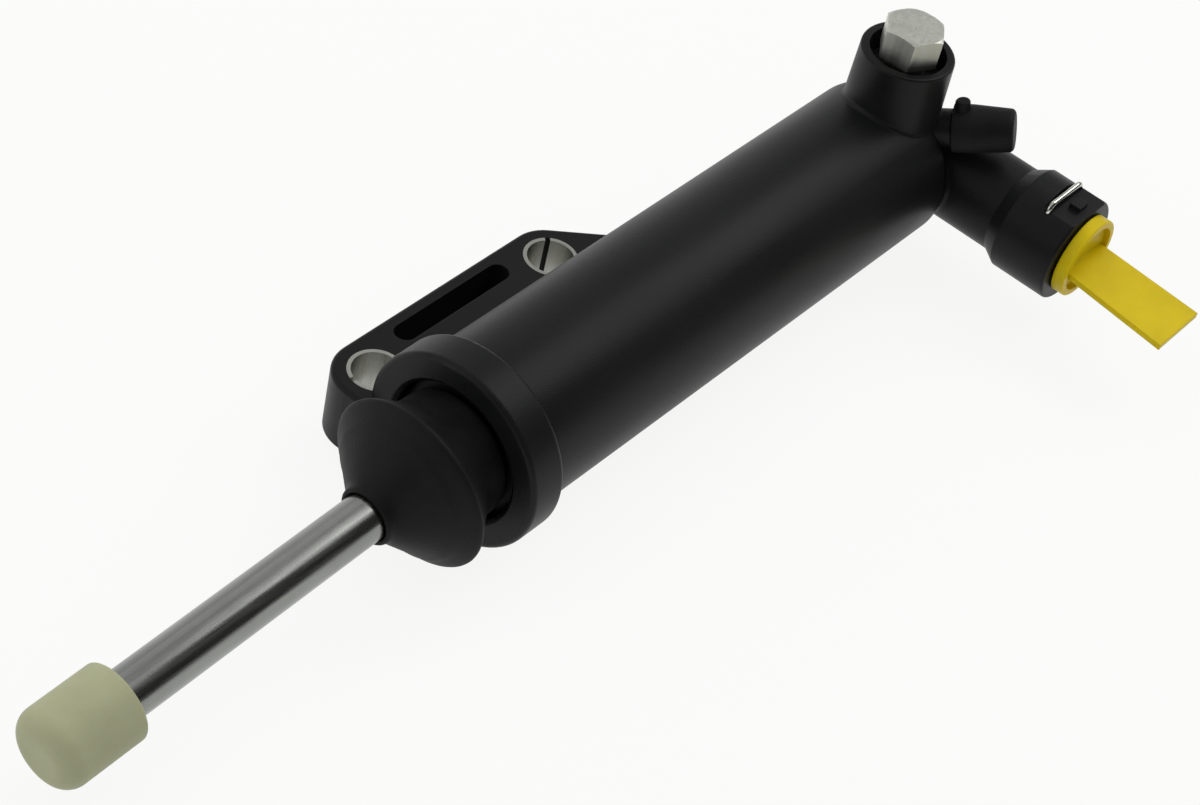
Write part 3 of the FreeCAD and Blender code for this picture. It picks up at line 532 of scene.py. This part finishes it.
def boot_section(sizes):
    """The boot's closed section: (distance in front of the collar's face, radius) all round."""
    wall = sizes.wall
    neck = sizes.neck_radius
    rim = sizes.rim_radius
    reach = sizes.rim_reach
    lip = sizes.sleeve_radius
    end = sizes.cone_reach
    neck_end = -1.0 * MM
    lip_end = end + 1.4 * MM
    ring = reach + 3.2 * MM
    ring_side = 0.5 * MM
    ring_dip = 0.05 * MM
    cone_start, cone_top = reach + 1.0 * MM, rim - 0.8 * MM
    cone_end, cone_foot = end - 0.6 * MM, lip + 0.5 * MM
    slope = (cone_top - cone_foot) / (cone_end - cone_start)

    def on_cone(along, lift=0.0):
        """A point on the cone, or lifted off it."""
        return along, cone_top - slope * (along - cone_start) + lift

    outside = [
        # The neck, with its end eased off.
        (neck_end, neck - 0.3 * MM),
        (-0.7 * MM, neck),
        (2.2 * MM, neck),
        # The flare from the neck to the rim.
        (4.0 * MM, neck + 0.4 * MM),
        (5.8 * MM, neck + 1.6 * MM),
        (reach - 2.4 * MM, rim - 1.7 * MM),
        # The rounded rim.
        (reach - 1.0 * MM, rim - 0.6 * MM),
        (reach - 0.3 * MM, rim - 0.05 * MM),
        (reach + 0.3 * MM, rim - 0.05 * MM),
        (reach + 0.9 * MM, rim - 0.6 * MM),
        # The cone, with the faint ring on it.
        on_cone(reach + 1.8 * MM),
        on_cone(ring - ring_side, -ring_dip),
        on_cone(ring, sizes.crease),
        on_cone(ring + ring_side, -ring_dip),
        on_cone(ring + 2.0 * MM),
        on_cone(end - 2.6 * MM),
        on_cone(end - 0.8 * MM),
        # The lip round the rod.
        (end - 0.2 * MM, lip + 0.35 * MM),
        (end + 0.5 * MM, lip + 0.1 * MM),
        (end + 1.1 * MM, lip),
        (lip_end, lip - 0.3 * MM),
    ]
    inside = [
        # Back along the rod.
        (lip_end, ROD_RADIUS),
        (end - 1.2 * MM, ROD_RADIUS),
        (end - 2.6 * MM, ROD_RADIUS + 0.9 * MM),
        # Under the cone and the rim.
        on_cone(ring, -wall),
        (reach + 1.0 * MM, rim - 1.0 * MM - wall),
        (reach, rim - 0.5 * MM - wall),
        (reach - 1.0 * MM, rim - 0.9 * MM - wall),
        (reach - 3.0 * MM, rim - 2.6 * MM - wall),
        # Inside the neck.
        (4.4 * MM, neck - 0.2 * MM - wall),
        (2.0 * MM, neck - wall),
        (neck_end, neck - wall),
    ]
    return outside + inside


def bead_section(neck):
    """The bead's closed section in the collar's groove, as boot_section gives the boot's."""
    outer = neck + BEAD_HEIGHT
    inner = neck - BEAD_DEPTH
    shoulder = outer - BEAD_ROUNDING
    return [
        (BEAD_BACK, inner),
        (BEAD_BACK, shoulder),
        (BEAD_BACK + BEAD_ROUNDING, outer),
        (BEAD_FRONT - BEAD_ROUNDING, outer),
        (BEAD_FRONT, shoulder),
        (BEAD_FRONT, inner),
    ]


def lean_over_rod(point, sizes):
    """Tilts the bell and brings the lip onto the rod's axis."""
    forward = COLLAR_FRONT - point.x
    pivot = Vector((COLLAR_FRONT, BORE_AXIS.y, BORE_AXIS.z))
    tilted = pivot + Matrix.Rotation(-sizes.tilt, 3, "Y") @ (point - pivot)
    leaned = point.lerp(tilted, smoothstep(forward, 0.0, LEAN_LENGTH))
    on_rod = BALL + Matrix.Rotation(-ROD_DROOP, 3, "Y") @ (point - BALL)
    lip_start = LIP_SHARE * sizes.cone_reach
    return leaned.lerp(on_rod, smoothstep(forward, lip_start, sizes.cone_reach))


def spun(section, steps):
    """A closed section, as boot_section gives it, turned round the bore."""
    form = bmesh.new()
    verts = [form.verts.new((COLLAR_FRONT - along, BORE_AXIS.y, BORE_AXIS.z + radius))
             for along, radius in section]
    edges = [form.edges.new((a, b)) for a, b in zip(verts, verts[1:] + verts[:1])]
    bmesh.ops.spin(form, geom=verts + edges, cent=(0, BORE_AXIS.y, BORE_AXIS.z), axis=(1, 0, 0),
                   angle=math.tau, steps=steps, use_merge=True, use_duplicate=False)
    bmesh.ops.remove_doubles(form, verts=form.verts, dist=MERGE_DISTANCE)
    return form


def closed_up(form):
    """Turns the faces outwards and shades them smooth."""
    bmesh.ops.recalc_face_normals(form, faces=form.faces)
    for face in form.faces:
        face.smooth = True
    return form


class CYLINDER_OT_boot(bpy.types.Operator):
    """Model the dust boot: a neck, a leaning bell with a faint ring, and a lip round the rod"""

    bl_idname = "cylinder.boot"
    bl_label = "Dust boot"

    def execute(self, context):
        sizes = context.scene.cylinder_boot
        colours = context.scene.cylinder_colours
        rubber = soft_rubber("boot_rubber", tuple(colours.rubber), 0.56)
        boot = spun(boot_section(sizes), sizes.turns)
        for vert in boot.verts:
            vert.co = lean_over_rod(vert.co, sizes)
        piece = finished("boot_rubber_shell", closed_up(boot), rubber, "push_rod")
        smooth = piece.modifiers.new("rounding", "SUBSURF")
        smooth.levels = 1
        smooth.render_levels = 1
        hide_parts("dust_boot")
        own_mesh(piece)
        bead = spun(bead_section(sizes.neck_radius), sizes.turns)
        finished("boot_bead", closed_up(bead), rubber, "housing")
        return {"FINISHED"}


def camera_turn(stage):
    """The camera's right, up and backward directions."""
    sine, cosine = math.sin(stage.azimuth), math.cos(stage.azimuth)
    flat = math.cos(stage.elevation)
    side = Vector((cosine, -sine, 0))
    back = Vector((-sine * flat, -cosine * flat, math.sin(stage.elevation)))
    over = back.cross(side)
    right = side * math.cos(stage.roll) + over * math.sin(stage.roll)
    up = over * math.cos(stage.roll) - side * math.sin(stage.roll)
    return right, up, back


def add_camera(stage):
    """The camera at the photograph's angle."""
    right, up, back = camera_turn(stage)
    camera = bpy.data.cameras.new("view")
    camera.lens = stage.lens
    camera.sensor_width = SENSOR_WIDTH
    camera.clip_start = CLIP_START
    place = Matrix.Translation(Vector(stage.aim) + back * stage.distance)
    holder = new_object("view", camera)
    holder.matrix_world = place @ Matrix((right, up, back)).transposed().to_4x4()
    bpy.context.scene.camera = holder


def add_lamp(name, aim, offset, width, power):
    """A square soft box that faces a point."""
    lamp = bpy.data.lights.new(name, "AREA")
    lamp.size = width
    lamp.energy = power
    holder = new_object(name, lamp)
    place = aim + Vector(offset)
    holder.location = place
    holder.rotation_euler = (aim - place).to_track_quat("-Z", "Y").to_euler()


def seen_rays(tree):
    """One for rays that show the background: camera, glossy and transmission rays."""
    path = add_node(tree, "ShaderNodeLightPath")
    total = path.outputs["Is Camera Ray"]
    for name in ("Is Glossy Ray", "Is Transmission Ray"):
        higher = add_node(tree, "ShaderNodeMath", operation="MAXIMUM")
        links_into(tree, (total, higher.inputs[0]), (path.outputs[name], higher.inputs[1]))
        total = higher.outputs["Value"]
    return total


def floor_material(white):
    """Pale floor that is seen as nearly plain white, with the object's shadow kept."""
    material = bpy.data.materials.new("studio_floor")
    tree = emptied(material)
    output = add_node(tree, "ShaderNodeOutputMaterial")
    paper = add_node(tree, "ShaderNodeBsdfDiffuse", {"Color": PAPER_COLOUR})
    glow = add_node(tree, "ShaderNodeEmission", {"Color": GLOW_COLOUR})
    share = add_node(tree, "ShaderNodeMath", {1: white}, operation="MULTIPLY")
    mix = add_node(tree, "ShaderNodeMixShader")
    links_into(
        tree,
        (seen_rays(tree), share.inputs[0]),
        (share.outputs["Value"], mix.inputs["Fac"]),
        (paper.outputs["BSDF"], mix.inputs[1]),
        (glow.outputs["Emission"], mix.inputs[2]),
        (mix.outputs["Shader"], output.inputs["Surface"]),
    )
    return material


def add_floor(stage):
    """A wide floor just under the object."""
    floor = bmesh.new()
    bmesh.ops.create_grid(floor, x_segments=1, y_segments=1, size=FLOOR_REACH)
    level = CAD_BOX[0][2] - FLOOR_GAP
    bmesh.ops.translate(floor, verts=floor.verts, vec=(0, 0, level))
    holder = object_from("floor", floor, floor_material(stage.floor_white))


def set_world(stage):
    """A surround that is pale behind the object, dim on the camera's side and soft as a light."""
    world = bpy.data.worlds.new("surround")
    tree = emptied(world)
    output = add_node(tree, "ShaderNodeOutputWorld")
    sky = add_node(tree, "ShaderNodeBackground", {"Color": SKY_COLOUR, "Strength": stage.sky})
    seen = add_node(tree, "ShaderNodeBackground")
    where = add_node(tree, "ShaderNodeTexCoord")
    dim_middle = Vector(stage.dim_side).normalized()
    facing = add_node(tree, "ShaderNodeVectorMath", {1: dim_middle}, operation="DOT_PRODUCT")
    room = add_node(tree, "ShaderNodeMapRange", {
        "From Min": FADE_START, "From Max": FADE_END, "To Min": 1.0, "To Max": stage.room})
    path = add_node(tree, "ShaderNodeLightPath")
    plain = add_node(tree, "ShaderNodeMath", operation="MAXIMUM")
    mix = add_node(tree, "ShaderNodeMixShader")
    links_into(
        tree,
        (where.outputs["Generated"], facing.inputs[0]),
        (facing.outputs["Value"], room.inputs["Value"]),
        (room.outputs["Result"], plain.inputs[0]),
        (path.outputs["Is Camera Ray"], plain.inputs[1]),
        (plain.outputs["Value"], seen.inputs["Strength"]),
        (seen_rays(tree), mix.inputs["Fac"]),
        (sky.outputs["Background"], mix.inputs[1]),
        (seen.outputs["Background"], mix.inputs[2]),
        (mix.outputs["Shader"], output.inputs["Surface"]),
    )
    bpy.context.scene.world = world


class CYLINDER_OT_stage(bpy.types.Operator):
    """Set the floor, lamps, surround and camera"""

    bl_idname = "cylinder.stage"
    bl_label = "Studio"

    def execute(self, context):
        stage = context.scene.cylinder_stage
        add_camera(stage)
        add_floor(stage)
        set_world(stage)
        aim = Vector(stage.aim)
        for name, offset, width, power in LAMPS:
            add_lamp(name, aim, offset, width, power)
        context.scene.view_settings.view_transform = "Standard"
        return {"FINISHED"}


class CYLINDER_PT_pieces(bpy.types.Panel):
    """Lists the pieces of the slave cylinder"""

    bl_label = "Slave cylinder"
    bl_idname = "CYLINDER_PT_pieces"
    bl_space_type = "VIEW_3D"
    bl_region_type = "UI"
    bl_category = "Cylinder"

    def draw(self, context):
        for operator in OPERATORS:
            self.layout.operator(operator.bl_idname)
        for name, kind in GROUPS.items():
            group = getattr(context.scene, name)
            for size in kind.__annotations__:
                self.layout.prop(group, size)


OPERATORS = (
    CYLINDER_OT_moulding,
    CYLINDER_OT_metals,
    CYLINDER_OT_spring,
    CYLINDER_OT_plastics,
    CYLINDER_OT_rubber,
    CYLINDER_OT_boot,
    CYLINDER_OT_stage,
)
GROUPS = {
    "cylinder_boot": BootSizes,
    "cylinder_colours": FinishColours,
    "cylinder_stage": StageSizes,
}


def register():
    """Registers the property groups, operators and panel."""
    for name, group in GROUPS.items():
        bpy.utils.register_class(group)
        setattr(bpy.types.Scene, name, PointerProperty(type=group))
    for operator in OPERATORS:
        bpy.utils.register_class(operator)
    bpy.utils.register_class(CYLINDER_PT_pieces)


def unregister():
    """Takes them away again."""
    bpy.utils.unregister_class(CYLINDER_PT_pieces)
    for operator in reversed(OPERATORS):
        bpy.utils.unregister_class(operator)
    for name, group in GROUPS.items():
        delattr(bpy.types.Scene, name)
        bpy.utils.unregister_class(group)


def main():
    """Builds the finished object and its studio."""
    register()
    bpy.ops.cylinder.moulding()
    bpy.ops.cylinder.metals()
    bpy.ops.cylinder.spring()
    bpy.ops.cylinder.plastics()
    bpy.ops.cylinder.rubber()
    bpy.ops.cylinder.boot()
    bpy.ops.cylinder.stage()


if __name__ == "__main__":
    main()
